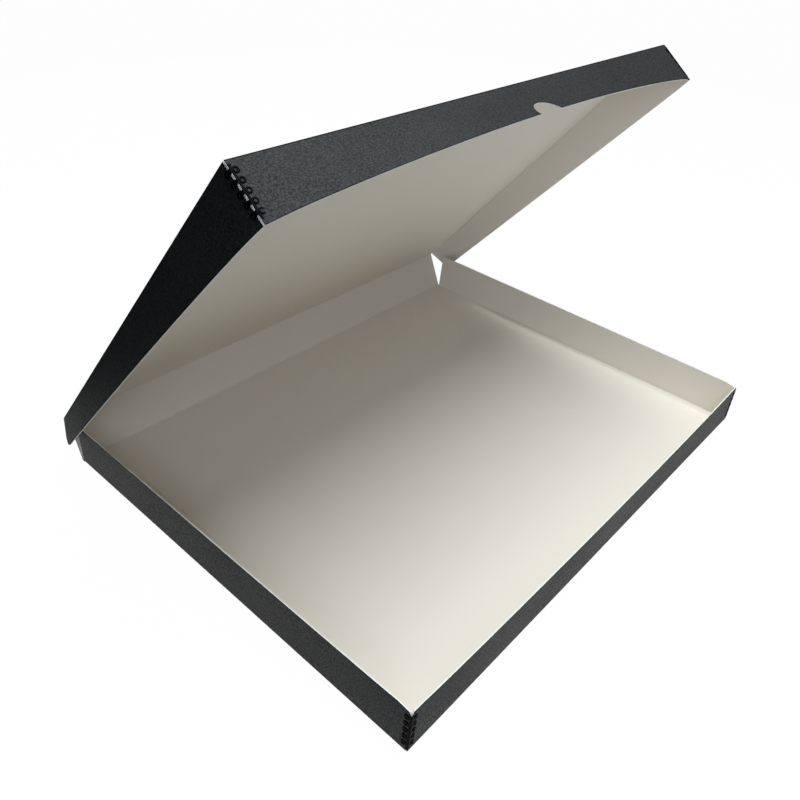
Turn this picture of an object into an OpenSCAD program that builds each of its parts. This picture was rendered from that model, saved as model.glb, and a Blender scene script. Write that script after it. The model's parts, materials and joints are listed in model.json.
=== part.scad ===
// Clamshell archival box: a base tray and a lid tray of stiff lined board, joined by a spine
// panel that folds along both of its long edges. Metal stays clasp the corners of both trays.
// Millimetres. +X runs along the spine, -Y is the front of the box and +Z is up.
// The origin is the centre of the base's underside. The lid is drawn part open.

/* [Base tray] */
// Outside width of the base, along the spine
base_w = 619; // [250:1:900]
// Outside depth of the base, from its front wall to the back of the upright spine
base_d = 467; // [200:1:700]
// Outside height of the base's walls
wall_h = 51; // [30:0.5:55]

/* [Board] */
// Thickness of the board
board_t = 1.5; // [1:0.1:2.5]
// Inside radius of a folded edge
fold_r = 0.6; // [0.3:0.1:1.5]
// Slack in a crease that turns
crease_gap = 0.3; // [0.2:0.05:0.6]
// Gap between the cut ends of two walls at a corner
corner_gap = 0.2; // [0.1:0.05:0.3]

/* [Lid tray] */
// How much lower the lid's walls are than the base's
lid_short = 0; // [0:0.5:20]
// How much lower the lid's side walls are at their free ends than in front
lid_taper = 18; // [0:0.5:24]
// Room between the lid's side walls and the base's
side_gap = 3; // [1.5:0.25:5]
// Room between the lid's front wall and the base's, which lets the shut lid swing clear
front_gap = 3.5; // [3.5:0.25:8]
// Room between the base's rims and the shut lid
top_gap = 0.5; // [0.3:0.1:2]
// Radius of the thumb notch in the lid's front rim
notch_r = 16; // [8:0.5:22]
// Outward lean of the lid's front wall at its middle, to which the board springs
front_lean = 27; // [0:1:32]
// Outward lean of a lid side wall at its free end
side_lean = 21; // [0:1:32]

/* [Free wall ends] */
// Gap between the base's side walls and the upright spine
end_gap = 1; // [0.5:0.25:4]
// Radius of the rim corner at the free end of a base wall
base_end_r = 3; // [1:0.5:10]
// Radius of the rim corner at the free end of a lid wall
lid_end_r = 6; // [1:0.5:15]

/* [Metal stays] */
// Thickness of the stay's metal
stay_t = 0.4; // [0.3:0.05:0.6]
// Inside radius of the stay's bend round the corner
bend_r = 1.2; // [0.8:0.1:1.6]
// How far the stay's plain strip laps over the cut end of each wall
strip_lap = 1.1; // [1:0.1:2]
// Diameter of a round lobe
lobe_d = 5; // [4:0.25:6]
// Distance from the cut end of a wall to the middle of a lobe
lobe_lap = 2.3; // [1.8:0.1:2.8]
// Distance from lobe to lobe
lobe_pitch = 8; // [6:0.25:10]
// Distance from the stay's end to its first lobe
stay_end = 5; // [3:0.25:8]
// Least distance from the stay to the rim and to the fold
stay_margin = 4; // [3:0.25:8]
// Inside diameter of the pierced hole in a lobe
pierce_d = 1.9; // [1:0.1:2.2]
// Wall of the burr round a pierced hole
burr_w = 0.35; // [0.2:0.05:0.45]
// Height of the burr's rolled lip above the lobe
lip_h = 0.3; // [0.1:0.05:0.5]
// Depth to which the burr bites into the board
bite = 0.7; // [0.4:0.1:0.8]
// Slack round a burr in its pocket
pocket_gap = 0.05; // [0.02:0.01:0.1]

/* [Pose] */
// How far the spine leans back from upright
spine_lean = 25; // [0:1:90]
// How far the lid is opened from square to the spine
lid_open = 27; // [0:1:90]

/* [Hidden] */

board_colour = "#3a3a3c";
stay_colour = "#161618";
$fn = 48;
// Steps along a leaning wall and round the rim corner at its free end
loft_steps = 20;
arc_steps = 6;
// How soon the front wall's lean grows from the stays and the side walls' from theirs
front_growth = 0.55;
side_growth = 0.5;
// Overshoot of a cutting shape past the face that it cuts
over = 1;

half_t = board_t / 2;
fold_out_r = fold_r + board_t;
// Distance from a corner's two faces to the cut ends of its walls
corner_in = board_t + corner_gap;

// The lower crease turns about the middle of the board, at the back of the floor
crease_y = base_d / 2 - half_t;
crease_z = half_t;
// The upper crease is this far up the spine from the lower one
spine_span = wall_h + top_gap;

lid_h = wall_h - lid_short;
lid_end_h = lid_h - lid_taper;
lid_w = base_w + 2 * (side_gap + board_t);
// Depth of the lid, from the upper crease to the outside of its front wall
lid_d = crease_y + base_d / 2 + front_gap + board_t;

// Reach of a stay's strip and of its lobes' middles along a wall, from the corner
strip_w = corner_in + strip_lap;
lobe_in = corner_in + lobe_lap;
// The lid's walls are square as far as this from their cut ends, where a stay holds them
stay_hold = lobe_lap + lobe_d / 2 + 1;
burr_d = pierce_d + 2 * burr_w;
lip_d = burr_d + 2 * burr_w;

function lobe_count(height) = floor((height - 2 * stay_margin - 2 * stay_end) / lobe_pitch) + 1;
function stay_length(height) = (lobe_count(height) - 1) * lobe_pitch + 2 * stay_end;
function stay_low(height) = (height - stay_length(height)) / 2;
function lobe_heights(height) =
    [for (i = [0 : lobe_count(height) - 1]) stay_low(height) + stay_end + i * lobe_pitch];

// Quarter-round section of a fold, from the edge of the floor up to the foot of a wall
module fold_section() {
    translate([-fold_out_r, fold_out_r])
        intersection() {
            difference() {
                circle(fold_out_r);
                circle(fold_r);
            }
            translate([0, -fold_out_r]) square(fold_out_r);
        }
}

// A section swept along +Y, from one distance to another
module sweep_y(from, to) {
    translate([0, to, 0]) rotate([90, 0, 0]) linear_extrude(to - from) children();
}

// A wall that runs along +Y from y = 0 with its outside face on x = 0
module wall(length, height) {
    sweep_y(0, length)
        translate([-board_t, fold_out_r]) square([board_t, height - fold_out_r]);
}

// Height of the middle of the round at a side wall's free end
function round_height(length, height, end_h, end_r) =
    let (slope = (height - end_h) / length)
    height - slope * (length - end_r) - end_r * sqrt(1 + slope * slope);

// A side wall whose far end is free, with its rim corner rounded there
module side_wall(length, height, end_r) {
    translate([-board_t, 0, 0])
        rotate([90, 0, 90])
            linear_extrude(board_t)
                difference() {
                    translate([0, fold_out_r]) square([length, height - fold_out_r]);
                    translate([length - end_r, height - end_r])
                        difference() {
                            square(end_r + over);
                            circle(end_r);
                        }
                }
}

// A wall like the one above that leans outwards, lofted through stations of [y, height, lean]
module leaning_wall(stations) {
    points = [
        for (station = stations)
            let (rise = station[1] - fold_out_r, out = sin(station[2]), up = cos(station[2]))
            each [
                [0, station[0], fold_out_r],
                [-board_t, station[0], fold_out_r],
                [rise * out - board_t * up, station[0], fold_out_r + rise * up + board_t * out],
                [rise * out, station[0], fold_out_r + rise * up]
            ]
    ];
    last = len(stations) - 1;
    sides = [
        for (i = [0 : last - 1], k = [0 : 3])
            let (a = 4 * i + k, b = 4 * i + (k + 1) % 4)
            each [[a, a + 4, b + 4], [a, b + 4, b]]
    ];
    far_end = [for (k = [3 : -1 : 0]) 4 * last + k];
    polyhedron(points, concat([[0, 1, 2, 3]], sides, [far_end]));
}

// A front wall that leans most in the middle and is square at both stays
function front_stations(length, height) =
    let (span = length - 2 * stay_hold)
    concat(
        [[0, height, 0]],
        [
            for (i = [0 : loft_steps])
                let (share = (1 - cos(180 * i / loft_steps)) / 2)
                [stay_hold + span * share, height, front_lean * pow(sin(180 * share), front_growth)]
        ],
        [[length, height, 0]]
    );

// A side wall that is square at its stay and leans most at its free end, where its rim is lower
function side_stations(length, height, end_h, end_r) =
    let (
        slope = (height - end_h) / length,
        round_y = length - end_r,
        round_z = round_height(length, height, end_h, end_r),
        first = atan(slope),
        straight = round_y + end_r * sin(first) - stay_hold
    )
    concat(
        [[0, height, 0]],
        [
            for (i = [0 : loft_steps - 1])
                let (y = stay_hold + straight * pow(i / loft_steps, 1.5))
                [y, height - slope * y, side_lean_at(y, length)]
        ],
        [
            for (i = [0 : arc_steps])
                let (turn = first + (90 - first) * i / arc_steps, y = round_y + end_r * sin(turn))
                [y, round_z + end_r * cos(turn), side_lean_at(y, length)]
        ]
    );

function side_lean_at(y, length) = side_lean * pow((y - stay_hold) / (length - stay_hold), side_growth);

// Pockets that the burrs of one stay have pierced in a front wall, on y = 0,
// and in a side wall, on x = width / 2
module stay_pockets(width, height) {
    pocket_d = burr_d + 2 * pocket_gap;
    pocket_depth = bite + pocket_gap;
    for (z = lobe_heights(height)) {
        translate([width / 2 - lobe_in, -over, z])
            rotate([-90, 0, 0]) cylinder(d = pocket_d, h = pocket_depth + over);
        translate([width / 2 + over, lobe_in, z])
            rotate([0, -90, 0]) cylinder(d = pocket_d, h = pocket_depth + over);
    }
}

// A tray with a wall in front and at both sides, its underside on z = 0 and the outside of
// its front wall on y = 0. The first child is the front wall and the second is a side wall.
// The walls' cut ends leave a square groove at each corner.
module tray(width, floor_d, side_d, height) {
    inset = fold_out_r - corner_in;
    difference() {
        union() {
            translate([-width / 2 + fold_out_r, fold_out_r, 0])
                cube([width - 2 * fold_out_r, floor_d - fold_out_r, board_t]);
            translate([-width / 2 + corner_in, 0, 0])
                rotate([0, 0, -90]) {
                    sweep_y(inset, width - 2 * corner_in - inset) fold_section();
                    children(0);
                }
            for (side = [0, 1])
                mirror([side, 0, 0])
                    translate([width / 2, corner_in, 0]) {
                        sweep_y(inset, side_d - corner_in) fold_section();
                        children(1);
                    }
        }
        for (side = [0, 1])
            mirror([side, 0, 0]) stay_pockets(width, height);
    }
}

// One leg of a stay, flat on z = 0 and outwards along +Z, with the box's corner on the Y axis
module stay_leg(height) {
    module at_lobes() {
        for (y = lobe_heights(height)) translate([lobe_in, y]) children();
    }
    linear_extrude(stay_t)
        difference() {
            union() {
                translate([bend_r, stay_low(height)])
                    square([strip_w - bend_r, stay_length(height)]);
                at_lobes() circle(d = lobe_d);
            }
            at_lobes() circle(d = pierce_d);
        }
    translate([0, 0, stay_t])
        linear_extrude(lip_h)
            difference() {
                at_lobes() circle(d = lip_d);
                at_lobes() circle(d = pierce_d);
            }
    translate([0, 0, -bite])
        linear_extrude(bite)
            difference() {
                at_lobes() circle(d = burr_d);
                at_lobes() circle(d = pierce_d);
            }
}

// The stay at a tray's right-hand front corner, in the tray's own frame
module stay(width, height) {
    translate([width / 2, 0, 0]) {
        translate([-bend_r, bend_r, stay_low(height)])
            linear_extrude(stay_length(height))
                intersection() {
                    difference() {
                        circle(bend_r + stay_t);
                        circle(bend_r);
                    }
                    translate([0, -bend_r - stay_t]) square(bend_r + stay_t);
                }
        mirror([1, 0, 0]) rotate([90, 0, 0]) stay_leg(height);
        rotate([90, 0, 90]) stay_leg(height);
    }
}

// Places: the base's tray frame, the spine from its lower crease and the lid's tray frame
module on_base() {
    translate([0, -base_d / 2, 0]) children();
}

module on_spine() {
    translate([0, crease_y, crease_z]) rotate([-spine_lean, 0, 0]) children();
}

module on_lid() {
    on_spine()
        translate([0, 0, spine_span])
            rotate([-lid_open, 0, 0])
                translate([0, -lid_d, half_t])
                    rotate([0, 180, 0])
                        children();
}

module base_tray() {
    side_d = base_d - board_t - end_gap;
    color(board_colour)
        on_base()
            tray(base_w, base_d - board_t - crease_gap, side_d, wall_h) {
                wall(base_w - 2 * corner_in, wall_h);
                side_wall(side_d - corner_in, wall_h, base_end_r);
            }
}

// The spine's lower edge is a half round that turns on the crease
module spine_panel() {
    color(board_colour)
        on_spine() {
            translate([-base_w / 2, -half_t, 0])
                cube([base_w, board_t, spine_span - half_t - crease_gap]);
            rotate([0, 90, 0]) cylinder(d = board_t, h = base_w, center = true);
        }
}

// The lid's panel ends in a half round that turns on the upper crease.
// The thumb notch is square to the leaning front wall.
module lid_tray() {
    rise = lid_h - fold_out_r;
    color(board_colour)
        on_lid()
            difference() {
                union() {
                    tray(lid_w, lid_d, lid_d, lid_h) {
                        leaning_wall(front_stations(lid_w - 2 * corner_in, lid_h));
                        leaning_wall(side_stations(lid_d - corner_in, lid_h, lid_end_h, lid_end_r));
                    }
                    translate([0, lid_d, half_t])
                        rotate([0, 90, 0])
                            cylinder(d = board_t, h = lid_w - 2 * fold_out_r, center = true);
                }
                translate([0, -rise * sin(front_lean), fold_out_r + rise * cos(front_lean)])
                    rotate([front_lean - 90, 0, 0])
                        translate([0, 0, -over])
                            cylinder(r = notch_r, h = board_t + 2 * over);
            }
}

module base_stay_right() {
    color(stay_colour) on_base() stay(base_w, wall_h);
}

module base_stay_left() {
    color(stay_colour) on_base() mirror([1, 0, 0]) stay(base_w, wall_h);
}

// The lid's tray frame is upside down, so its left and right change places
module lid_stay_right() {
    color(stay_colour) on_lid() mirror([1, 0, 0]) stay(lid_w, lid_h);
}

module lid_stay_left() {
    color(stay_colour) on_lid() stay(lid_w, lid_h);
}

base_tray();
spine_panel();
lid_tray();
base_stay_left();
base_stay_right();
lid_stay_left();
lid_stay_right();
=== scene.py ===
"""Looks of a clamshell archival box: lined board with folded walls, metal corner stays and a stage."""

import json
import math

import bpy
from mathutils import Matrix, Vector


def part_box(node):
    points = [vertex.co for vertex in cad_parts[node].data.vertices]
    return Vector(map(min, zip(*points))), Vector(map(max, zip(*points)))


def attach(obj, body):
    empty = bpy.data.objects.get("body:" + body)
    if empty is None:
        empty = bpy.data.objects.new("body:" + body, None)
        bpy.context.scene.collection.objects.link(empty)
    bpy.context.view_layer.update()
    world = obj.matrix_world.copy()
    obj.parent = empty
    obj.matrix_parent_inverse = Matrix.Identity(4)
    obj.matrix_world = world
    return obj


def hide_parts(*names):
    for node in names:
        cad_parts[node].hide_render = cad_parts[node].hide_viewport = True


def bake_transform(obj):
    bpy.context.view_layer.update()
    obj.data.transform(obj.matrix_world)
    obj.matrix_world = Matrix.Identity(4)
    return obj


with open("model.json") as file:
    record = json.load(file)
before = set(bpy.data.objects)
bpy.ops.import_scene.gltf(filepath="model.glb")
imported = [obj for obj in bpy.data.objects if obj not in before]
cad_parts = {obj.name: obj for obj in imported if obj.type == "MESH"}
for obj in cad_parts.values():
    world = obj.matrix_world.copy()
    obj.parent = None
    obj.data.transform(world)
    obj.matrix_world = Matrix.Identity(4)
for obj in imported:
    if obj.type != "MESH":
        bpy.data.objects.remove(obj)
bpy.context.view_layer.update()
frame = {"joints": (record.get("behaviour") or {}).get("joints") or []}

bl_info = {
    "name": "Clamshell archival box",
    "version": (1, 0, 0),
    "blender": (4, 5, 0),
    "location": "View3D > Sidebar > Archival Box",
    "description": "Builds the lined board, the corner stays and the stage of a clamshell archival box",
    "category": "Object",
}

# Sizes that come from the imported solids
base_low, base_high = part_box("base_tray")
folds = {joint["name"]: joint for joint in frame["joints"]}
lower_crease = Vector(folds["spine_fold"]["pos_m"])
upper_crease = Vector(folds["lid_fold"]["pos_m"])
spine_lean = math.radians(-folds["spine_fold"]["range_deg"][0])
lid_open = math.radians(-folds["lid_fold"]["range_deg"][0])


class BoardSizes(bpy.types.PropertyGroup):
    """Sizes of the board and of the two trays that are folded from it"""

    base_width: bpy.props.FloatProperty(
        name="Base width", description="Outside width of the base, along the spine",
        default=base_high.x - base_low.x, unit="LENGTH", precision=4)
    base_depth: bpy.props.FloatProperty(
        name="Base depth", description="Outside depth of the base, up to the back of the upright spine",
        default=-2 * base_low.y, unit="LENGTH", precision=4)
    wall_height: bpy.props.FloatProperty(
        name="Wall height", description="Outside height of the walls of both trays",
        default=base_high.z, unit="LENGTH", precision=4)
    board: bpy.props.FloatProperty(
        name="Board", description="Thickness of the board",
        default=0.0015, unit="LENGTH", precision=5)
    fold_radius: bpy.props.FloatProperty(
        name="Fold radius", description="Inside radius of a folded edge",
        default=0.0006, unit="LENGTH", precision=5)
    corner_gap: bpy.props.FloatProperty(
        name="Corner gap", description="Gap between the cut ends of two walls at a corner",
        default=0.0002, unit="LENGTH", precision=5)
    corner_set: bpy.props.FloatProperty(
        name="Corner set-in",
        description="How far a front wall's cut ends stand in from the outside of the side walls",
        default=0.0003, unit="LENGTH", precision=5)
    crease_gap: bpy.props.FloatProperty(
        name="Crease slack", description="Slack in a crease that turns",
        default=0.0003, unit="LENGTH", precision=5)
    crease_lap: bpy.props.FloatProperty(
        name="Crease lap", description="Width of flat board on each side of a crease that turns with it",
        default=0.0012, unit="LENGTH", precision=5)
    side_gap: bpy.props.FloatProperty(
        name="Side gap", description="Room between the lid's side walls and the base's",
        default=0.003, unit="LENGTH", precision=5)
    front_gap: bpy.props.FloatProperty(
        name="Front gap", description="Room between the lid's front wall and the base's",
        default=0.0035, unit="LENGTH", precision=5)
    notch_radius: bpy.props.FloatProperty(
        name="Notch radius", description="Radius of the thumb notch in the lid's front rim",
        default=0.016, unit="LENGTH", precision=4)
    base_end_radius: bpy.props.FloatProperty(
        name="Base end radius", description="Radius of the rim corner at the free end of a base wall",
        default=0.003, unit="LENGTH", precision=4)
    base_corner_radius: bpy.props.FloatProperty(
        name="Base corner radius", description="Radius of the rim corner of a base wall beside a stay",
        default=0.0055, unit="LENGTH", precision=4)
    lid_taper: bpy.props.FloatProperty(
        name="Lid taper",
        description="How much lower the lid's side walls are at their free ends than in front",
        default=0.018, unit="LENGTH", precision=4)
    lid_end_radius: bpy.props.FloatProperty(
        name="Lid end radius", description="Radius of the rim corner at the free end of a lid wall",
        default=0.010, unit="LENGTH", precision=4)
    torn_edge: bpy.props.FloatProperty(
        name="Torn edge", description="Width of bare board along the cut ends of the lid's front wall",
        default=0.0005, unit="LENGTH", precision=5)
    soft_edge: bpy.props.FloatProperty(
        name="Soft edge", description="Width of the rounding where a face of the board meets a cut edge",
        default=0.00018, unit="LENGTH", precision=5)


class BoardBend(bpy.types.PropertyGroup):
    """How far the walls spring outwards from square"""

    base_front: bpy.props.FloatProperty(
        name="Base front", description="Outward lean of the base's front wall at its middle",
        default=math.radians(3.2), subtype="ANGLE")
    base_side: bpy.props.FloatProperty(
        name="Base side", description="Outward lean of a base side wall at its free end",
        default=math.radians(3.2), subtype="ANGLE")
    lid_front: bpy.props.FloatProperty(
        name="Lid front", description="Outward lean of the lid's front wall at its middle",
        default=math.radians(27), subtype="ANGLE")
    lid_side: bpy.props.FloatProperty(
        name="Lid side", description="Outward lean of a lid side wall at its free end",
        default=math.radians(21), subtype="ANGLE")
    stay_hold: bpy.props.FloatProperty(
        name="Stay hold", description="Distance from a wall's cut end over which a stay holds it square",
        default=0.0058, unit="LENGTH", precision=5)
    front_growth: bpy.props.FloatProperty(
        name="Front growth", description="Power by which a front wall's lean grows from its stays",
        default=0.55, subtype="FACTOR")
    side_growth: bpy.props.FloatProperty(
        name="Side growth", description="Power by which a side wall's lean grows from its stay",
        default=0.5, subtype="FACTOR")


class BoardFinish(bpy.types.PropertyGroup):
    """Colours of the board"""

    paper: bpy.props.FloatVectorProperty(
        name="Paper", description="Colour of the charcoal paper on the outside",
        default=(0.017, 0.017, 0.0171), subtype="COLOR", min=0, max=1)
    lining: bpy.props.FloatVectorProperty(
        name="Lining", description="Colour of the cream lining on the inside",
        default=(0.80, 0.745, 0.655), subtype="COLOR", min=0, max=1)
    cut: bpy.props.FloatVectorProperty(
        name="Cut edge", description="Colour of the board's cut edges",
        default=(0.86, 0.85, 0.80), subtype="COLOR", min=0, max=1)


class StaySizes(bpy.types.PropertyGroup):
    """Sizes and colour of the metal stays that clasp the corners"""

    metal: bpy.props.FloatProperty(
        name="Metal", description="Thickness of the stay's metal",
        default=0.0004, unit="LENGTH", precision=5)
    bend_radius: bpy.props.FloatProperty(
        name="Bend radius", description="Inside radius of the bend round the corner",
        default=0.0012, unit="LENGTH", precision=5)
    strip: bpy.props.FloatProperty(
        name="Strip", description="Width of the plain strip on each wall, from the corner",
        default=0.0028, unit="LENGTH", precision=5)
    tongue: bpy.props.FloatProperty(
        name="Tongue", description="Width of the strip where it reaches out to a lobe",
        default=0.0036, unit="LENGTH", precision=5)
    soft_edge: bpy.props.FloatProperty(
        name="Soft edge", description="Width of the rounding along the metal's edges",
        default=0.00008, unit="LENGTH", precision=6)
    lobe: bpy.props.FloatProperty(
        name="Lobe", description="Outside diameter of a round lobe",
        default=0.0056, unit="LENGTH", precision=5)
    hole: bpy.props.FloatProperty(
        name="Hole", description="Diameter of the pierced hole in a lobe",
        default=0.0023, unit="LENGTH", precision=5)
    lip: bpy.props.FloatProperty(
        name="Lip", description="Height of a lobe's rolled lip above the board",
        default=0.0008, unit="LENGTH", precision=5)
    lobe_in: bpy.props.FloatProperty(
        name="Lobe inset", description="Distance from the corner to the middle of a lobe",
        default=0.0045, unit="LENGTH", precision=5)
    pitch: bpy.props.FloatProperty(
        name="Pitch", description="Distance from lobe to lobe",
        default=0.008, unit="LENGTH", precision=5)
    end: bpy.props.FloatProperty(
        name="End", description="Distance from the stay's end to its first lobe",
        default=0.005, unit="LENGTH", precision=5)
    margin: bpy.props.FloatProperty(
        name="Margin", description="Least distance from the stay to the rim and to the fold",
        default=0.004, unit="LENGTH", precision=5)
    lacquer: bpy.props.FloatVectorProperty(
        name="Lacquer", description="Colour of the black lacquer",
        default=(0.0025, 0.0025, 0.0027), subtype="COLOR", min=0, max=1)


class StageSettings(bpy.types.PropertyGroup):
    """Floor, panels, lamps and camera"""

    # The floor's colour inside the painted pool of light; beyond it the floor is painted dark.
    floor: bpy.props.FloatVectorProperty(
        name="Floor", description="Colour of the pale sheet that the box stands on",
        default=(0.86, 0.86, 0.85), subtype="COLOR", min=0, max=1)
    floor_reach: bpy.props.FloatProperty(
        name="Floor reach", description="Distance from the origin to the floor's edges",
        default=8.0, unit="LENGTH")
    # The pale sheet is a painted pool of light: these give its middle, half size and fading edge.
    light_pool_centre: bpy.props.FloatVectorProperty(
        name="Sheet centre", description="Middle of the pale sheet",
        default=(0.42, -0.40, 0), subtype="TRANSLATION", unit="LENGTH")
    light_pool_half: bpy.props.FloatVectorProperty(
        name="Sheet half", description="Half the width and half the depth of the pale sheet",
        default=(0.78, 0.70, 0), subtype="TRANSLATION", unit="LENGTH")
    light_pool_fade: bpy.props.FloatProperty(
        name="Sheet fade", description="Distance over which the pale sheet fades into the dark floor",
        default=0.13, unit="LENGTH")
    panel_height: bpy.props.FloatProperty(
        name="Panel height", description="Height of the black panels", default=2.8, unit="LENGTH")
    room_light: bpy.props.FloatProperty(
        name="Room light", description="Strength of the light from all round", default=0.12, subtype="FACTOR")
    top_light: bpy.props.FloatProperty(
        name="Top light", description="Power of the large soft lamp above the box",
        default=38.5, unit="POWER")
    top_colour: bpy.props.FloatVectorProperty(
        name="Top colour", description="Colour of the lamp above the box",
        default=(0.90, 0.965, 1.0), subtype="COLOR", min=0, max=1)
    top_size: bpy.props.FloatProperty(
        name="Top size", description="Side of the lamp above the box", default=1.3, unit="LENGTH")
    top_place: bpy.props.FloatVectorProperty(
        name="Top place", description="Place of the lamp above the box",
        default=(0.1, 0.0, 1.75), subtype="TRANSLATION", unit="LENGTH")
    top_aim: bpy.props.FloatVectorProperty(
        name="Top aim", description="Spot at which the lamp above the box is aimed",
        default=(0.1, 0.0, 0.0), subtype="TRANSLATION", unit="LENGTH")
    front_light: bpy.props.FloatProperty(
        name="Front light", description="Power of the weak soft lamp on the left in front",
        default=10.8, unit="POWER")
    front_colour: bpy.props.FloatVectorProperty(
        name="Front colour", description="Colour of the lamp on the left in front",
        default=(0.75, 0.833, 1.0), subtype="COLOR", min=0, max=1)
    front_size: bpy.props.FloatProperty(
        name="Front size", description="Side of the lamp on the left in front", default=0.8, unit="LENGTH")
    front_place: bpy.props.FloatVectorProperty(
        name="Front place", description="Place of the lamp on the left in front",
        default=(-1.3, -0.7, 1.0), subtype="TRANSLATION", unit="LENGTH")
    front_aim: bpy.props.FloatVectorProperty(
        name="Front aim", description="Spot at which the lamp on the left in front is aimed",
        default=(0.1, 0.0, 0.2), subtype="TRANSLATION", unit="LENGTH")
    azimuth: bpy.props.FloatProperty(
        name="Azimuth", description="Heading of the camera, from straight in front",
        default=math.radians(-49.2828), subtype="ANGLE")
    elevation: bpy.props.FloatProperty(
        name="Elevation", description="How far the camera looks down",
        default=math.radians(31.5453), subtype="ANGLE")
    roll: bpy.props.FloatProperty(
        name="Roll", description="How far the camera is turned about its own line of sight",
        default=math.radians(4.2310), subtype="ANGLE")
    camera_place: bpy.props.FloatVectorProperty(
        name="Camera place", description="Place of the camera along its own right, up and ahead",
        default=(-0.06854, 0.12291, -0.95301), subtype="TRANSLATION", unit="LENGTH")
    camera_shift: bpy.props.FloatVectorProperty(
        name="Camera shift", description="Shift of the picture to the right and up, in widths of the picture",
        default=(0.0383, -0.0827), size=2, subtype="XYZ")
    sensor: bpy.props.FloatProperty(
        name="Sensor", description="Width of the camera's sensor in millimetres", default=36, unit="CAMERA")
    lens: bpy.props.FloatProperty(
        name="Lens", description="Focal length of the camera in millimetres", default=36.424, unit="CAMERA")


class Wire:
    """An output socket that takes part in Python expressions. Each operator adds a Math node."""

    def __init__(self, finish, socket):
        self.finish = finish
        self.socket = socket

    def __add__(self, other):
        return self.finish.math("ADD", self, other)

    def __sub__(self, other):
        return self.finish.math("SUBTRACT", self, other)

    def __rsub__(self, other):
        return self.finish.math("SUBTRACT", other, self)

    def __mul__(self, other):
        return self.finish.math("MULTIPLY", self, other)

    __radd__ = __add__
    __rmul__ = __mul__


class Finish:
    """A procedural material under construction"""

    def __init__(self, name):
        self.material = bpy.data.materials.new(name)
        self.material.use_nodes = True
        self.tree = self.material.node_tree
        self.tree.nodes.clear()

    def add(self, kind, settings=None, sockets=None, output=0):
        """Adds a node of this type, sets it up, fills its sockets and returns one of its outputs."""
        node = self.tree.nodes.new(kind)
        for key, value in (settings or {}).items():
            if key == "stops":
                while len(node.color_ramp.elements) < len(value):
                    node.color_ramp.elements.new(0.5)
                for stop, (place, shade) in zip(node.color_ramp.elements, value):
                    stop.position = place
                    stop.color = (shade, shade, shade, 1)
            else:
                setattr(node, key, value)
        for key, value in (sockets or {}).items():
            if isinstance(value, Wire):
                self.tree.links.new(value.socket, node.inputs[key])
            else:
                node.inputs[key].default_value = value
        return Wire(self, node.outputs[output])

    def math(self, operation, first, second):
        return self.add("ShaderNodeMath", {"operation": operation}, {0: first, 1: second})

    def place(self, stretch=(1, 1, 1)):
        """Object coordinates, stretched along the axes."""
        spot = self.add("ShaderNodeTexCoord", output="Object")
        return self.add("ShaderNodeMapping", None, {"Vector": spot, "Scale": stretch})

    def noise(self, spot, scale, detail=2.0, roughness=0.5):
        sockets = {"Vector": spot, "Scale": scale, "Detail": detail, "Roughness": roughness}
        return self.add("ShaderNodeTexNoise", None, sockets)

    def ramp(self, value, low, high):
        """0 below low, 1 above high and a straight line between them."""
        return self.add("ShaderNodeValToRGB", {"stops": [(low, 0), (high, 1)]}, {"Fac": value})

    def blend(self, factor, first, second):
        return self.add("ShaderNodeMix", {"data_type": "RGBA"}, {0: factor, 6: first, 7: second}, output=2)

    def bump(self, height, strength, distance):
        sockets = {"Height": height, "Strength": strength, "Distance": distance}
        return self.add("ShaderNodeBump", None, sockets)

    def attribute(self, name):
        return self.add("ShaderNodeAttribute", {"attribute_name": name}, output="Fac")

    def close(self, surface):
        """Ends the material with this surface and returns it."""
        node = self.tree.nodes.new("ShaderNodeOutputMaterial")
        self.tree.links.new(surface.socket, node.inputs["Surface"])
        return self.material


def shade(colour, factor):
    """A colour made lighter or darker, with its alpha."""
    return tuple(min(1.0, part * factor) for part in colour) + (1.0,)


def charcoal_paper(colour):
    """Uncoated charcoal paper: mottled dye, short fibres, creases rubbed paler, and painted shade along the
    low folds, rims and cut edges.
    """
    finish = Finish("charcoal_paper")
    spot = finish.place()
    mottle = finish.noise(spot, scale=700, roughness=0.55)
    fibre = finish.noise(finish.place(stretch=(0.35, 1.6, 1.6)), scale=1500, roughness=0.6)
    cloud = finish.noise(spot, scale=14)
    tone = mottle * 0.62 + fibre * 0.28 + cloud * 0.10
    grain = finish.ramp(tone, low=0.40, high=0.60)
    dyed = finish.blend(grain, shade(colour, 0.25), shade(colour, 1.8))
    wear = finish.attribute("wear")
    rubbed = finish.ramp(wear * (0.35 + mottle), low=0.42, high=0.95)
    worn = finish.blend(rubbed * 0.35, dyed, shade(colour, 2.3))
    # Painted shade: where the points are marked below zero, the paper blends into a dark matt copy of itself.
    shade_mask = finish.math("MAXIMUM", wear * -1, 0)
    relief = finish.bump(mottle, strength=0.9, distance=0.0003)
    sheet = finish.add("ShaderNodeBsdfPrincipled", None, {
        "Base Color": worn,
        "Roughness": 0.68 - grain * 0.2,
        "Specular IOR Level": 0.155,
        "Normal": relief,
    })
    painted_shade = finish.add("ShaderNodeBsdfDiffuse", None, {"Color": shade(colour, 0.1)})
    return finish.close(finish.add("ShaderNodeMixShader", None, {0: shade_mask, 1: sheet, 2: painted_shade}))


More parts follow.
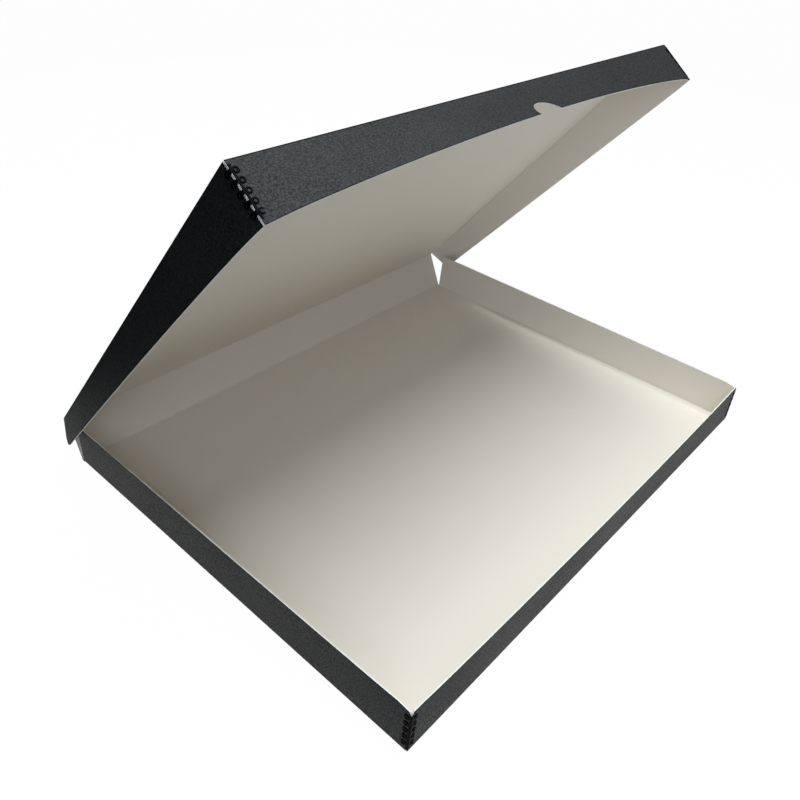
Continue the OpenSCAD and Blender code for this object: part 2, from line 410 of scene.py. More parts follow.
def cream_lining(colour):
    """Smooth uncoated cream paper with a faint fibre pattern, with painted shade along the scored folds."""
    finish = Finish("cream_lining")
    spot = finish.place()
    fibre = finish.noise(finish.place(stretch=(0.5, 1.4, 1.4)), scale=900, detail=3.0, roughness=0.6)
    cloud = finish.noise(spot, scale=9)
    tone = finish.ramp(fibre * 0.7 + cloud * 0.3, low=0.34, high=0.66)
    plain = finish.blend(tone, shade(colour, 0.985), shade(colour, 1.015))
    # Painted shade: the lining is blended up to a tenth darker where points are marked along the folds and
    # creases.
    shaded_folds = finish.blend(finish.attribute("wear") * 0.5, plain, shade(colour, 0.9))
    relief = finish.bump(finish.noise(spot, scale=2200, roughness=0.6), strength=0.12, distance=0.0001)
    return finish.close(finish.add("ShaderNodeBsdfPrincipled", None, {
        "Base Color": shaded_folds,
        "Roughness": 0.66 + tone * 0.08,
        "Specular IOR Level": 0.3,
        "Normal": relief,
    }))


def cut_board(colour):
    """Cut edge of the board: pale pulp with torn fibres."""
    finish = Finish("cut_board")
    fibre = finish.noise(finish.place(stretch=(0.2, 1.0, 1.0)), scale=2400, detail=3.0, roughness=0.65)
    tone = finish.ramp(fibre, low=0.3, high=0.7)
    pulp = finish.blend(tone, shade(colour, 0.86), shade(colour, 1.1))
    relief = finish.bump(fibre, strength=0.5, distance=0.00012)
    return finish.close(finish.add("ShaderNodeBsdfPrincipled", None, {
        "Base Color": pulp,
        "Roughness": 0.8 + tone * 0.1,
        "Specular IOR Level": 0.2,
        "Normal": relief,
    }))


def black_lacquer(colour):
    """Black lacquer on stamped steel, thin and a little brighter where the press has rubbed it."""
    finish = Finish("black_lacquer")
    spot = finish.place()
    smear = finish.noise(spot, scale=420, detail=3.0, roughness=0.6)
    rubbed = finish.ramp(smear, low=0.60, high=0.78)
    coat = finish.blend(rubbed, shade(colour, 1.0), shade(colour, 5.0))
    relief = finish.bump(finish.noise(spot, scale=1100), strength=0.25, distance=0.00008)
    return finish.close(finish.add("ShaderNodeBsdfPrincipled", None, {
        "Base Color": coat,
        "Roughness": 0.22 + smear * 0.12,
        "Specular IOR Level": 0.015,
        "Normal": relief,
    }))


class BoardSheet:
    """Lined board, grown from pairs of points: one on its outside and one on its inside. Where it is
    covered, paper hides the ends of its folds and of its front wall. Where it is torn, the front wall's
    ends are bare over that width."""

    paper, lining, cut_edge = range(3)
    sharp_angle = math.radians(28)
    least_spread = 0.3

    def __init__(self):
        self.outside = []
        self.inside = []
        self.wear = []
        self.crease_shade = []
        self.cells = []
        self.folds = set()
        self.ends = set()
        self.covered = False
        self.torn = 0.0

    def point(self, outside, inside, wear=0.0, crease_shade=0.0):
        """Adds a pair of points. Wear and shade is 1 where the paper is rubbed and -1 where it is painted in
        shade. Crease shade is 1 where the lining is pressed in and painted darker, as shade in the crease."""
        self.outside.append(Vector(outside))
        self.inside.append(Vector(inside))
        self.wear.append(wear)
        self.crease_shade.append(crease_shade)
        return len(self.outside) - 1

    def patch(self, rows):
        """Joins rows of point numbers with cells that face outwards."""
        for low, high in zip(rows, rows[1:]):
            for i in range(len(low) - 1):
                cell = (low[i], low[i + 1], high[i + 1], high[i])
                a, b, c, d = (self.outside[n] for n in cell)
                out = self.outside[cell[0]] - self.inside[cell[0]]
                if (c - a).cross(d - b).dot(out) < 0:
                    cell = cell[::-1]
                self.cells.append(cell)

    def rim(self):
        """Free edges of the sheet and, for each of their points, the way out in the sheet's plane."""
        used = set()
        for cell in self.cells:
            used.update(zip(cell, cell[1:] + cell[:1]))
        edges = []
        ways = {}
        for cell in self.cells:
            middle = sum((self.outside[n] for n in cell), Vector()) / 4
            for a, b in zip(cell, cell[1:] + cell[:1]):
                if (b, a) in used:
                    continue
                along = (self.outside[b] - self.outside[a]).normalized()
                way = (self.outside[a] + self.outside[b]) / 2 - middle
                way = (way - along * way.dot(along)).normalized()
                edges.append((a, b))
                ways.setdefault(a, []).append(way)
                ways.setdefault(b, []).append(way)
        out = {}
        for n, found in ways.items():
            first, second = found[0], found[-1]
            out[n] = (first + second) / max(self.least_spread, 1 + first.dot(second))
        return edges, out

    def build(self, name, soft_edge, place, finishes):
        """Makes the object, with its three finishes, in the row frame."""
        count = len(self.outside)
        edges, out = self.rim()
        points = []
        for side, torn in ((self.outside, self.torn), (self.inside, 0.0)):
            for n, p in enumerate(side):
                back = torn if torn and n in self.ends else soft_edge
                points.append(p - out[n] * back if n in out else p)
        wear = self.wear + self.crease_shade
        cut = {}
        for n in out if soft_edge else ():
            through = (self.inside[n] - self.outside[n]).normalized() * soft_edge
            cut[n] = (len(points), len(points) + 1)
            points += [self.outside[n] + through, self.inside[n] - through]
            # Painted shade: the rounding on the paper's side of each cut edge is marked -1, which darkens it
            # as if in shadow.
            wear += [-1.0, 0.0]
        faces = []
        kinds = []
        for cell in self.cells:
            faces += [cell, tuple(n + count for n in reversed(cell))]
            kinds += [self.paper, self.lining]
        for a, b in edges:
            if not soft_edge:
                faces.append((b, a, a + count, b + count))
                kinds.append(self.cut_edge)
                continue
            end = a in self.ends and b in self.ends
            covered = self.covered and (end or a in self.folds and b in self.folds)
            faces += [
                (b, a, cut[a][0], cut[b][0]),
                (cut[b][0], cut[a][0], cut[a][1], cut[b][1]),
                (cut[b][1], cut[a][1], a + count, b + count),
            ]
            outer_edge = self.cut_edge if self.torn and end else self.paper
            kinds += [outer_edge, self.paper if covered else self.cut_edge, self.lining]
        mesh = bpy.data.meshes.new(name)
        mesh.from_pydata([place @ p for p in points], [], faces)
        mesh.update()
        mesh.polygons.foreach_set("material_index", kinds)
        mesh.polygons.foreach_set("use_smooth", [True] * len(faces))
        mesh.attributes.new("wear", "FLOAT", "POINT").data.foreach_set("value", wear)
        mesh.set_sharp_from_angle(angle=self.sharp_angle)
        for finish in finishes:
            mesh.materials.append(finish)
        piece = bpy.data.objects.new(name, mesh)
        bpy.context.scene.collection.objects.link(piece)
        return piece


def spread(low, high, step, marks=()):
    """Even places from low to high, about a step apart, with the marks added in place of those near them."""
    digits = 7
    near = step * 0.3
    count = max(2, round((high - low) / step))
    kept = {round(mark, digits) for mark in (low, high, *marks)}
    even = [round(low + (high - low) * i / count, digits) for i in range(1, count)]
    return sorted(kept.union(p for p in even if min(abs(p - mark) for mark in kept) > near))


def round_marks(centre, radius, first, last, count):
    """Places across a round cut, closer together where the cut is steep."""
    return [centre + radius * math.cos(first + (last - first) * i / count) for i in range(count + 1)]


class Tray:
    """A tray with a wall in front and at both sides, in a frame of its own: the underside on z = 0
    and the outside of the front wall on y = 0. Its walls lean outwards, more so away from the corners.
    The rows and columns of its floor fan out near the corners, where the walls run past the floor."""

    grid_step = 0.012
    fan_width = 0.0008
    fan_shares = (1.0, 0.75, 0.5, 0.3, 0.15, 0.05)
    notch_points = 36
    end_points = 10
    fold_rows = 7
    wall_levels = (0.03, 0.2, 0.4, 0.6, 0.8, 0.97, 0.985, 1.0)

    def __init__(self, scene, width, floor_depth, side_depth, taper, corner_radius, end_radius, notch_radius,
                 front_lean, side_lean):
        board = scene.board_sizes
        self.board = board
        self.bend = scene.board_bend
        self.width = width
        self.floor_depth = floor_depth
        self.side_depth = side_depth
        self.taper = taper
        self.corner_radius = corner_radius
        self.end_radius = end_radius
        self.notch_radius = notch_radius
        self.most_front_lean = front_lean
        self.most_side_lean = side_lean
        self.out_radius = board.fold_radius + board.board
        self.corner_in = board.board + board.corner_gap

    def front_lean(self, x):
        """Lean of the front wall: none at the stays and most in the middle."""
        free = self.width / 2 - self.corner_in - self.bend.stay_hold
        share = max(0.0, math.cos(math.pi / 2 * min(1.0, abs(x) / free)))
        return self.most_front_lean * share ** self.bend.front_growth

    def side_lean(self, y):
        """Lean of a side wall: none at its stay and most at its free end."""
        start = self.corner_in + self.bend.stay_hold
        share = min(1.0, max(0.0, (y - start) / (self.side_depth - start)))
        return self.most_side_lean * share ** self.bend.side_growth

    def leaning(self, depth, z, angle):
        """Depth and height of a point of a wall that leans outwards by this angle from its fold."""
        height = z - self.out_radius
        if height <= 0:
            return depth, z
        return (depth * math.cos(angle) - height * math.sin(angle),
                self.out_radius + height * math.cos(angle) + depth * math.sin(angle))

    def front_point(self, x, depth, z):
        depth, z = self.leaning(depth, z, self.front_lean(x))
        return Vector((x, depth, z))

    def side_point(self, y, depth, z, side):
        depth, z = self.leaning(depth, z, self.side_lean(y))
        return Vector((side * (self.width / 2 - depth), y, z))

    def corner_point(self, point):
        """A point on a stay, which follows the wall that it lies on."""
        depth = self.width / 2 - abs(point.x)
        if point.y < depth:
            return self.front_point(point.x, point.y, point.z)
        return self.side_point(point.y, depth, point.z, math.copysign(1, point.x))

    def corner_drop(self, along):
        """How far the rounded rim corner beside a stay drops at this distance from the wall's cut end."""
        rest = self.corner_radius - min(max(0.0, along), self.corner_radius)
        return self.corner_radius - math.sqrt(self.corner_radius ** 2 - rest ** 2)

    def front_height(self, x):
        if abs(x) >= self.notch_radius:
            return self.board.wall_height - self.corner_drop(self.width / 2 - self.board.corner_set - abs(x))
        return self.board.wall_height - math.sqrt(self.notch_radius ** 2 - x ** 2)

    def side_height(self, y):
        """Height of a side wall, whose rim drops to the free end and is rounded there."""
        slope = self.taper / (self.side_depth - self.corner_in)
        run = math.hypot(1, slope)
        centre = self.side_depth - self.end_radius
        height = self.board.wall_height - slope * (min(y, centre) - self.corner_in)
        height -= self.corner_drop(y - self.corner_in)
        if y <= centre + self.end_radius * slope / run:
            return height - slope * max(0.0, y - centre)
        rest = max(0.0, self.end_radius ** 2 - (y - centre) ** 2)
        return height - self.end_radius * run + math.sqrt(rest)

    def sheet(self):
        """The whole tray as one sheet: the floor first, then a wall from each of its edges."""
        sheet = BoardSheet()
        t = self.board.board
        ro = self.out_radius
        ri = self.board.fold_radius
        half = self.width / 2 - ro
        fan = [self.fan_width * share for share in self.fan_shares]
        across = [way * (half - step) for step in fan for way in (-1, 1)]
        if self.notch_radius > 0:
            across += round_marks(0, self.notch_radius, 0, math.pi, self.notch_points)
        columns = spread(-half, half, self.grid_step, across)
        last_row = self.floor_depth - self.fan_width
        end_centre = self.side_depth - self.end_radius
        round_end = round_marks(end_centre, self.end_radius, math.pi / 2, 0.0, self.end_points)
        along = [*(ro + step for step in fan), last_row, *(y for y in round_end if y < last_row)]
        rows = spread(ro, self.floor_depth, self.grid_step, along)
        grid = []
        for y in rows:
            line = []
            for x in columns:
                # Painted shade: points along the floor's edges are marked -1 on the paper underneath and 0.8
                # on the lining, which darkens both as shade.
                near = x in (columns[0], columns[-1]) or y == rows[0]
                line.append(sheet.point((x, y, 0), (x, y, t), -1.0 if near else 0.0, 0.8 if near else 0.0))
            grid.append(line)
        sheet.patch(grid)

        def wall(feet, spot, height, flare):
            """Rows from the floor's edge up round the fold and up the wall, in the wall's own plane."""
            lines = [feet]
            sheet.folds.update(feet)
            for i in range(1, self.fold_rows + 1):
                a = math.pi / 2 * i / self.fold_rows
                # Painted shade: the paper on the lower part of each fold, next to the floor panel, is marked
                # down to -1, and the lining round the fold is marked for painted shade in the crease.
                painted_shade = min(1.0, 3 * (1 - i / self.fold_rows))
                line = []
                for k in range(len(feet)):
                    along = flare(k, math.sin(a))
                    outer = spot(along, ro - ro * math.sin(a), ro - ro * math.cos(a))
                    inner = spot(along, ro - ri * math.sin(a), ro - ri * math.cos(a))
                    line.append(sheet.point(outer, inner, -painted_shade, 1.0 if i < self.fold_rows else 0.8))
                sheet.folds.update(line)
                lines.append(line)
            for level in self.wall_levels:
                # Painted shade: the top row of each wall is marked -1, which paints a thin dark line along
                # the paper below the rim.
                wear = -1.0 if level == 1 else 0.0
                line = []
                for k in range(len(feet)):
                    along = flare(k, 1)
                    z = ro + (height(along) - ro) * level
                    line.append(sheet.point(spot(along, 0, z), spot(along, t, z), wear))
                lines.append(line)
            sheet.patch(lines)
            return lines

        def front_flare(k, share):
            outward = max(0.0, 1 - (half - abs(columns[k])) / self.fan_width)
            return columns[k] + math.copysign((ro - self.board.corner_set) * share * outward, columns[k])

        for line in wall(grid[0], self.front_point, self.front_height, front_flare)[1:]:
            sheet.ends.update((line[0], line[-1]))

        def side_flare(k, share):
            if k == len(rows) - 1:
                return self.floor_depth + (self.side_depth - self.floor_depth) * share
            outward = max(0.0, 1 - (rows[k] - ro) / self.fan_width)
            return rows[k] + (self.corner_in - ro) * share * outward

        for side, column in ((-1, 0), (1, -1)):
            def side_spot(y, depth, z, side=side):
                return self.side_point(y, depth, z, side)

            wall([line[column] for line in grid], side_spot, self.side_height, side_flare)
        return sheet


def base_shape(scene):
    """The base's tray and its place in the row frame."""
    board = scene.board_sizes
    bend = scene.board_bend
    depth = board.base_depth - board.board / 2 - crease_reach(board)
    tray = Tray(scene, width=board.base_width, floor_depth=depth, side_depth=depth, taper=0.0,
                corner_radius=board.base_corner_radius, end_radius=board.base_end_radius, notch_radius=0.0,
                front_lean=bend.base_front, side_lean=bend.base_side)
    return tray, Matrix.Translation((0, -board.base_depth / 2, 0))


def lid_shape(scene):
    """The lid's tray, which lies upside down, and its place in the row frame."""
    board = scene.board_sizes
    bend = scene.board_bend
    width = board.base_width + 2 * (board.side_gap + board.board)
    depth = lower_crease.y + board.base_depth / 2 + board.front_gap + board.board
    tray = Tray(scene, width=width, floor_depth=depth - crease_reach(board), side_depth=depth,
                taper=board.lid_taper, corner_radius=0.0, end_radius=board.lid_end_radius,
                notch_radius=board.notch_radius, front_lean=bend.lid_front, side_lean=bend.lid_side)
    turn = Matrix.Rotation(-spine_lean - lid_open, 4, "X")
    upright = Matrix.Translation((0, -depth, board.board / 2)) @ Matrix.Rotation(math.pi, 4, "Y")
    return tray, Matrix.Translation(upper_crease) @ turn @ upright


def crease_reach(board):
    """Distance from a crease's axis to the flat board that doesn't turn with it."""
    return board.board / 2 + board.crease_gap + board.crease_lap


def spine_directions():
    """The way up the spine and the way from it into the box."""
    heading = Vector((0, math.sin(spine_lean), math.cos(spine_lean)))
    return heading, Vector((0, -heading.z, heading.y))


def board_finishes():
    """The three finishes of the board, made once."""
    colours = bpy.context.scene.board_finish
    made = []
    for name, make, colour in (
        ("charcoal_paper", charcoal_paper, colours.paper),
        ("cream_lining", cream_lining, colours.lining),
        ("cut_board", cut_board, colours.cut),
    ):
        made.append(bpy.data.materials.get(name) or make(colour))
    return made


def straight_line(sheet, board, outer, inner, wear=0.0):
    """A row of points along the spine's width, through this pair."""
    column_step = 0.02
    columns = spread(-board.base_width / 2, board.base_width / 2, column_step)
    return [sheet.point(outer + Vector((x, 0, 0)), inner + Vector((x, 0, 0)), wear, wear) for x in columns]


def spine_sheet(board):
    """The flat board of the spine, between its two creases."""
    row_step = 0.008
    heading, inward = spine_directions()
    reach = crease_reach(board)
    through = inward * board.board / 2
    sheet = BoardSheet()
    lines = []
    for height in spread(reach, (upper_crease - lower_crease).length - reach, row_step):
        middle = lower_crease + heading * height
        lines.append(straight_line(sheet, board, middle - through, middle + through))
    sheet.patch(lines)
    return sheet


def fold_sheet(board, crease, heading, inward, turn):
    """The bent board of a crease, with a lap of flat board on both sides of the bend."""
    bend_rows = 8
    lap_wear_and_shade = 0.4
    near_lap = 0.4 * board.crease_lap
    half_t = board.board / 2
    tangent = half_t + board.crease_gap
    middle = tangent / math.tan(turn / 2)
    centre = crease - heading * tangent + inward * middle
    laps = [near_lap, board.crease_lap]
    stations = [(0.0, -lap) for lap in reversed(laps)]
    stations += [(turn * i / bend_rows, 0.0) for i in range(bend_rows + 1)]
    stations += [(turn, lap) for lap in laps]
    sheet = BoardSheet()
    lines = []
    for angle, lap in stations:
        ahead = heading * math.cos(angle) + inward * math.sin(angle)
        normal = inward * math.cos(angle) - heading * math.sin(angle)
        outer = centre - normal * (middle + half_t) + ahead * lap
        inner = centre - normal * (middle - half_t) + ahead * lap
        # The bend is marked 1 and the laps less: on the paper this rubs it paler, on the lining it paints
        # shade in the crease.
        lines.append(straight_line(sheet, board, outer, inner, 1.0 if lap == 0 else lap_wear_and_shade))
    sheet.patch(lines)
    return sheet


def stay_strip(sizes, length, firsts, open_side):
    """The strip of a stay, bent round a corner that stands on the Z axis. Its edges step back between the
    lobes, and an open side steps back as far as the bend, so that the board's cut end shows there."""
    bend_steps = 8
    open_cells = 4
    r = sizes.bend_radius
    outer = []
    inner = []
    for radius, line in ((r + sizes.metal, outer), (r, inner)):
        line.append(Vector((-sizes.strip, r - radius, 0)))
        line.append(Vector((-(sizes.strip + r) / 2, r - radius, 0)))
        for i in range(bend_steps + 1):
            a = math.pi / 2 * i / bend_steps
            line.append(Vector((-r + radius * math.sin(a), r - radius * math.cos(a), 0)))
        line.append(Vector((radius - r, (sizes.strip + r) / 2, 0)))
        line.append(Vector((radius - r, sizes.strip, 0)))
    marks = [first + way * sizes.tongue / 2 for first in firsts for way in (-1, 1)]
    heights = spread(0, length, sizes.pitch / 8, marks)
    sheet = BoardSheet()
    numbers = {}

    def number(across, height):
        if (across, height) not in numbers:
            up = Vector((0, 0, height))
            numbers[across, height] = sheet.point(outer[across] + up, inner[across] + up)
        return numbers[across, height]

    whole = range(len(outer) - 1)
    between = whole[:open_cells] if open_side else whole[1:-1]
    for low, high in zip(heights, heights[1:]):
        middle = (low + high) / 2
        tongue = min(abs(middle - first) for first in firsts) < sizes.tongue / 2
        for i in whole if tongue else between:
            sheet.patch([[number(i, low), number(i + 1, low)], [number(i, high), number(i + 1, high)]])
    return sheet


def stay_tree(material):
    """Geometry nodes that set a row of rolled lobes along both legs of a stay's strip."""
    tree = bpy.data.node_groups.new("Lobes along a stay", "GeometryNodeTree")
    tree.interface.new_socket("Strip", in_out="INPUT", socket_type="NodeSocketGeometry")
    for name in ("Pitch", "First", "Inset", "Ring Radius", "Ring Width", "Ring Height"):
        socket = tree.interface.new_socket(name, in_out="INPUT", socket_type="NodeSocketFloat")
        socket.subtype = "DISTANCE"
    tree.interface.new_socket("Count", in_out="INPUT", socket_type="NodeSocketInt")
    tree.interface.new_socket("Stay", in_out="OUTPUT", socket_type="NodeSocketGeometry")
    given = tree.nodes.new("NodeGroupInput")

    def add(kind, settings=None, sockets=None):
        node = tree.nodes.new(kind)
        for key, value in (settings or {}).items():
            setattr(node, key, value)
        for key, value in (sockets or {}).items():
            if isinstance(value, bpy.types.NodeSocket):
                tree.links.new(value, node.inputs[key])
            else:
                node.inputs[key].default_value = value
        return node.outputs

    def circle(points, radius):
        sockets = {"Resolution": points, "Radius": given.outputs[radius]}
        return add("GeometryNodeCurvePrimitiveCircle", None, sockets)

    ring_points = 24
    section_points = 12
    path = circle(ring_points, "Ring Radius")
    section = circle(section_points, "Ring Width")
    ring = add("GeometryNodeCurveToMesh", None, {"Curve": path[0], "Profile Curve": section[0]})
    smooth = add("GeometryNodeSetShadeSmooth", None, {"Geometry": ring[0]})
    ring_sizes = {0: given.outputs["Ring Height"], 1: given.outputs["Ring Width"]}
    flat = add("ShaderNodeMath", {"operation": "DIVIDE"}, ring_sizes)
    half = add("ShaderNodeMath", {"operation": "MULTIPLY"}, {0: flat[0], 1: 0.5})
    squeeze = add("ShaderNodeCombineXYZ", None, {"X": 1.0, "Y": 1.0, "Z": half[0]})
    up = add("ShaderNodeMath", {"operation": "MULTIPLY"}, {0: given.outputs["Ring Height"], 1: 0.5})
    lift = add("ShaderNodeCombineXYZ", None, {"Z": up[0]})
    lobe = add("GeometryNodeTransform", None, {
        "Geometry": smooth[0], "Scale": squeeze[0], "Translation": lift[0],
    })
    back = add("ShaderNodeMath", {"operation": "MULTIPLY"}, {0: given.outputs["Inset"], 1: -1.0})
    step = add("ShaderNodeCombineXYZ", None, {"Z": given.outputs["Pitch"]})
    joined = tree.nodes.new("GeometryNodeJoinGeometry")
    tree.links.new(given.outputs["Strip"], joined.inputs[0])
    legs = (
        ({"X": back[0], "Z": given.outputs["First"]}, (math.pi / 2, 0, 0)),
        ({"Y": given.outputs["Inset"], "Z": given.outputs["First"]}, (0, math.pi / 2, 0)),
    )
    for start, turn in legs:
        place = add("ShaderNodeCombineXYZ", None, start)
        row = add("GeometryNodeMeshLine", None, {
            "Count": given.outputs["Count"], "Start Location": place[0], "Offset": step[0],
        })
        lobes = add("GeometryNodeInstanceOnPoints", None, {
            "Points": row[0], "Instance": lobe[0], "Rotation": turn,
        })
        tree.links.new(lobes[0], joined.inputs[0])
    real = add("GeometryNodeRealizeInstances", None, {"Geometry": joined.outputs[0]})
    coated = add("GeometryNodeSetMaterial", None, {"Geometry": real[0], "Material": material})
    result = tree.nodes.new("NodeGroupOutput")
    tree.links.new(coated[0], result.inputs[0])
    return tree


def stay_mesh(context, tree, open_side):
    """One stay on a corner that stands on the Z axis, as a plain mesh, and the height of its low end."""
    sizes = context.scene.stay_sizes
    height = context.scene.board_sizes.wall_height
    rounding = 1e-6
    count = int((height - 2 * sizes.margin - 2 * sizes.end) / sizes.pitch + rounding) + 1
    length = (count - 1) * sizes.pitch + 2 * sizes.end
    firsts = [sizes.end + sizes.pitch * i for i in range(count)]
    sheet = stay_strip(sizes, length, firsts, open_side)
    strip = sheet.build("stay_strip", sizes.soft_edge, Matrix.Identity(4), ())
    lobes = strip.modifiers.new("Lobes", "NODES")
    lobes.node_group = tree
    values = {
        "Pitch": sizes.pitch, "First": sizes.end, "Inset": sizes.lobe_in,
        "Ring Radius": (sizes.lobe + sizes.hole) / 4, "Ring Width": (sizes.lobe - sizes.hole) / 4,
        "Ring Height": sizes.lip, "Count": count,
    }
    for item in tree.interface.items_tree:
        if item.in_out == "INPUT" and item.name in values:
            lobes[item.identifier] = values[item.name]
    context.view_layer.update()
    made = bpy.data.meshes.new_from_object(strip.evaluated_get(context.evaluated_depsgraph_get()))
    bpy.data.objects.remove(strip)
    return made, (height - length) / 2


class ARCHIVAL_BOX_OT_base(bpy.types.Operator):
    """Folds the base's tray from lined board"""

    bl_idname = "archival_box.base"
    bl_label = "Base tray"

    def execute(self, context):
        tray, place = base_shape(context.scene)
        sheet = tray.sheet()
        sheet.covered = True
        piece = sheet.build("base_board", context.scene.board_sizes.soft_edge, place, board_finishes())
        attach(piece, "base")
        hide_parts("base_tray")
        return {"FINISHED"}


class ARCHIVAL_BOX_OT_spine(bpy.types.Operator):
    """Makes the spine and the two creases that it turns on"""

    bl_idname = "archival_box.spine"
    bl_label = "Spine and creases"

    def execute(self, context):
        board = context.scene.board_sizes
        heading, inward = spine_directions()
        spine = spine_sheet(board).build("spine_board", 0, Matrix.Identity(4), board_finishes())
        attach(spine, "spine")
        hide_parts("spine_panel")
        floor = Vector((0, 1, 0))
        up = Vector((0, 0, 1))
        lid_heading = (Matrix.Rotation(math.pi / 2 - lid_open, 3, "X") @ heading).normalized()
        creases = (
            ("lower_crease", "base", "spine", lower_crease, floor, up, spine_lean, heading),
            ("upper_crease", "spine", "lid", upper_crease, heading, inward, lid_open, lid_heading),
        )
        for name, first, second, crease, ahead, inner, opened, after in creases:
            bent = fold_sheet(board, crease, ahead, inner, math.pi / 2 - opened)
            piece = bent.build(name, 0, Matrix.Identity(4), board_finishes())
            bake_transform(piece)
        return {"FINISHED"}


class ARCHIVAL_BOX_OT_lid(bpy.types.Operator):
    """Folds the lid's tray from lined board, with its thumb notch"""

    bl_idname = "archival_box.lid"
    bl_label = "Lid tray"

    def execute(self, context):
        board = context.scene.board_sizes
        tray, place = lid_shape(context.scene)
        sheet = tray.sheet()
        sheet.torn = board.torn_edge
        piece = sheet.build("lid_board", board.soft_edge, place, board_finishes())
        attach(piece, "lid")
        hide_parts("lid_tray")
        return {"FINISHED"}


class ARCHIVAL_BOX_OT_stays(bpy.types.Operator):
    """Sets a lobed metal stay on each of the four front corners"""

    bl_idname = "archival_box.stays"
    bl_label = "Corner stays"

    def execute(self, context):
        tree = stay_tree(black_lacquer(context.scene.stay_sizes.lacquer))
        corners = (
            ("base", base_shape, False, {1: "right", -1: "left"}),
            ("lid", lid_shape, True, {1: "left", -1: "right"}),
        )
        for body, shape, open_side, names in corners:
            plain, low = stay_mesh(context, tree, open_side)
            tray, place = shape(context.scene)
            for side, name in names.items():
                mesh = plain.copy()
                for vertex in mesh.vertices:
                    spot = vertex.co + Vector((tray.width / 2, 0, low))
                    spot.x *= side
                    vertex.co = place @ tray.corner_point(spot)
                if side < 0:
                    mesh.flip_normals()
                mesh.update()
                piece = bpy.data.objects.new(f"{body}_stay_{name}_lobed", mesh)
                context.scene.collection.objects.link(piece)
                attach(piece, body)
                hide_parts(f"{body}_stay_{name}")
        return {"FINISHED"}


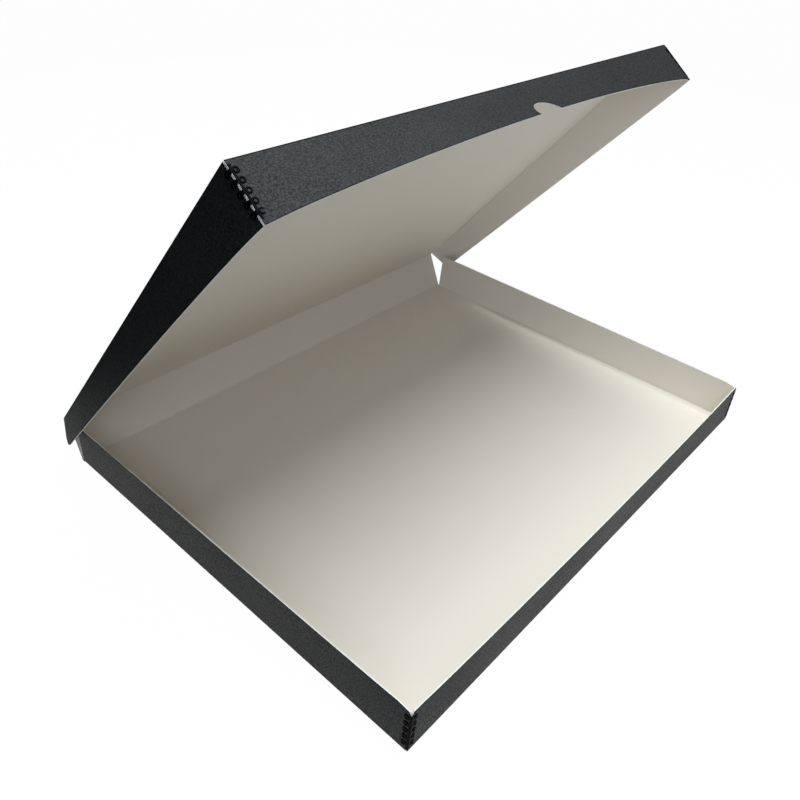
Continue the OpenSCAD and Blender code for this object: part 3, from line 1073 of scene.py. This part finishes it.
class ARCHIVAL_BOX_OT_stage(bpy.types.Operator):
    """Makes the pale floor, the black panels, the soft lamps and the camera"""

    bl_idname = "archival_box.stage"
    bl_label = "Stage"

    def execute(self, context):
        settings = context.scene.stage_settings
        self.floor(context, settings)
        self.world(context, settings.room_light)
        self.flag(context, settings.panel_height)
        top = self.lamp(context, "top_lamp", settings.top_place, settings.top_aim)
        top.size = settings.top_size
        top.energy = settings.top_light
        top.color = settings.top_colour
        front = self.lamp(context, "front_lamp", settings.front_place, settings.front_aim)
        front.size = settings.front_size
        front.energy = settings.front_light
        front.color = settings.front_colour
        self.camera(context, settings)
        context.scene.view_settings.view_transform = "Standard"
        return {"FINISHED"}

    def floor(self, context, settings):
        """A pale floor round the box, painted as a pool of light that fades into a floor painted dark beyond
        it. The camera sees both as white, with a trace of the box's shadow.
        """
        painted_dark_floor = (0.02, 0.02, 0.02, 1)
        white_share = 0.985
        finish = Finish("pale_floor")
        ray = finish.add("ShaderNodeLightPath", output="Is Camera Ray")
        shine = finish.add("ShaderNodeLightPath", output="Is Glossy Ray")
        through = finish.add("ShaderNodeLightPath", output="Is Transmission Ray")
        pool = self.pool(finish, settings)
        # Painted light: reflections show the white floor only inside the painted pool, and other bounces meet
        # a floor painted pale there and dark beyond.
        seen = finish.math("MAXIMUM", ray, finish.math("MAXIMUM", shine, through) * pool)
        near = finish.math("MAXIMUM", ray, pool)
        sheet = finish.blend(near, painted_dark_floor, (*settings.floor, 1))
        paint = finish.add("ShaderNodeBsdfDiffuse", None, {"Color": sheet})
        white = finish.add("ShaderNodeEmission", None, {"Color": (1, 1, 1, 1), "Strength": 1.0})
        surface = finish.add("ShaderNodeMixShader", None, {0: seen * white_share, 1: paint, 2: white})
        mesh = bpy.data.meshes.new("floor")
        reach = settings.floor_reach
        corners = [(-reach, -reach, 0), (reach, -reach, 0), (reach, reach, 0), (-reach, reach, 0)]
        mesh.from_pydata(corners, [], [(0, 1, 2, 3)])
        mesh.materials.append(finish.close(surface))
        floor = bpy.data.objects.new("floor", mesh)
        context.scene.collection.objects.link(floor)

    def pool(self, finish, settings):
        """Painted pool of light: 1 on the pale floor round the box and 0 on the floor painted dark beyond it,
        as if unlit.
        """
        spot = finish.add("ShaderNodeTexCoord", output="Object")

        def vector(operation, first, second=(0, 0, 0)):
            return finish.add("ShaderNodeVectorMath", {"operation": operation}, {0: first, 1: second})

        size = vector("ABSOLUTE", vector("SUBTRACT", spot, settings.light_pool_centre))
        outside = vector("MAXIMUM", vector("SUBTRACT", size, settings.light_pool_half))
        far = finish.add("ShaderNodeVectorMath", {"operation": "LENGTH"}, {0: outside}, output="Value")
        return 1 - finish.ramp(far, low=0.0, high=settings.light_pool_fade)

    def flag(self, context, height):
        """Black panels on the left, behind and on the right, which keep the room's sheen off the paper."""
        corners = [(-1.1, -0.5), (-1.1, 0.4), (-0.5, 1.3), (0.4, 1.7), (1.5, 1.5), (2.0, 0.5), (2.0, -0.3)]
        above_floor = 0.002
        finish = Finish("black_flag")
        black = finish.add("ShaderNodeBsdfDiffuse", None, {"Color": (0.004, 0.004, 0.004, 1)})
        mesh = bpy.data.meshes.new("flag")
        count = len(corners)
        points = [(x, y, z) for z in (above_floor, height) for x, y in corners]
        mesh.from_pydata(points, [], [(i, i + 1, i + 1 + count, i + count) for i in range(count - 1)])
        mesh.materials.append(finish.close(black))
        flag = bpy.data.objects.new("flag", mesh)
        flag.visible_camera = False
        context.scene.collection.objects.link(flag)

    def world(self, context, room_light):
        """White for the camera and in reflections, and a weak light from all round for the rest."""
        world = bpy.data.worlds.new("pale_room")
        world.use_nodes = True
        tree = world.node_tree
        tree.nodes.clear()
        path = tree.nodes.new("ShaderNodeLightPath")
        seen = path.outputs["Is Camera Ray"]
        for name in ("Is Glossy Ray", "Is Transmission Ray"):
            either = tree.nodes.new("ShaderNodeMath")
            either.operation = "MAXIMUM"
            tree.links.new(seen, either.inputs[0])
            tree.links.new(path.outputs[name], either.inputs[1])
            seen = either.outputs[0]
        mixed = tree.nodes.new("ShaderNodeMixShader")
        tree.links.new(seen, mixed.inputs[0])
        for place, strength in ((1, room_light), (2, 1.0)):
            light = tree.nodes.new("ShaderNodeBackground")
            light.inputs["Color"].default_value = (1, 1, 1, 1)
            light.inputs["Strength"].default_value = strength
            tree.links.new(light.outputs[0], mixed.inputs[place])
        result = tree.nodes.new("ShaderNodeOutputWorld")
        tree.links.new(mixed.outputs[0], result.inputs["Surface"])
        context.scene.world = world

    def lamp(self, context, name, place, aim):
        """A square lamp at this place, aimed at a spot."""
        light = bpy.data.lights.new(name, "AREA")
        lamp = bpy.data.objects.new(name, light)
        lamp.location = place
        lamp.rotation_euler = (Vector(aim) - Vector(place)).to_track_quat("-Z", "Y").to_euler()
        context.scene.collection.objects.link(lamp)
        return light

    def camera(self, context, settings):
        """The camera of the photo, fitted to the edges of the box."""
        level = math.cos(settings.elevation)
        ahead = Vector((-math.sin(settings.azimuth) * level, math.cos(settings.azimuth) * level,
                        -math.sin(settings.elevation)))
        right = ahead.cross(Vector((0, 0, 1))).normalized()
        up = right.cross(ahead)
        turn, tilt = math.cos(settings.roll), math.sin(settings.roll)
        right, up = turn * right + tilt * up, turn * up - tilt * right
        view = bpy.data.cameras.new("photo_camera")
        view.sensor_width = settings.sensor
        view.lens = settings.lens
        view.shift_x, view.shift_y = settings.camera_shift
        turned = Matrix((right, up, -ahead)).transposed()
        camera = bpy.data.objects.new("photo_camera", view)
        spot = Matrix((right, up, ahead)).transposed() @ Vector(settings.camera_place)
        camera.matrix_world = Matrix.Translation(spot) @ turned.to_4x4()
        context.scene.collection.objects.link(camera)
        context.scene.camera = camera


class ARCHIVAL_BOX_PT_panel(bpy.types.Panel):
    """Lists the pieces of the box and the sizes they are made from"""

    bl_idname = "ARCHIVAL_BOX_PT_panel"
    bl_label = "Archival Box"
    bl_space_type = "VIEW_3D"
    bl_region_type = "UI"
    bl_category = "Archival Box"

    def draw(self, context):
        for step in steps:
            self.layout.operator(step.bl_idname)
        for name in groups:
            box = self.layout.box()
            settings = getattr(context.scene, name)
            box.label(text=settings.bl_rna.description)
            for key in settings.__annotations__:
                box.prop(settings, key)


groups = {
    "board_sizes": BoardSizes,
    "board_bend": BoardBend,
    "board_finish": BoardFinish,
    "stay_sizes": StaySizes,
    "stage_settings": StageSettings,
}
steps = (
    ARCHIVAL_BOX_OT_base,
    ARCHIVAL_BOX_OT_spine,
    ARCHIVAL_BOX_OT_lid,
    ARCHIVAL_BOX_OT_stays,
    ARCHIVAL_BOX_OT_stage,
)
classes = (*groups.values(), *steps, ARCHIVAL_BOX_PT_panel)


def register():
    for item in classes:
        bpy.utils.register_class(item)
    for name, group in groups.items():
        setattr(bpy.types.Scene, name, bpy.props.PointerProperty(type=group))


def unregister():
    for name in groups:
        delattr(bpy.types.Scene, name)
    for item in reversed(classes):
        bpy.utils.unregister_class(item)


def main():
    register()
    bpy.ops.archival_box.base()
    bpy.ops.archival_box.spine()
    bpy.ops.archival_box.lid()
    bpy.ops.archival_box.stays()
    bpy.ops.archival_box.stage()


if __name__ == "__main__":
    main()
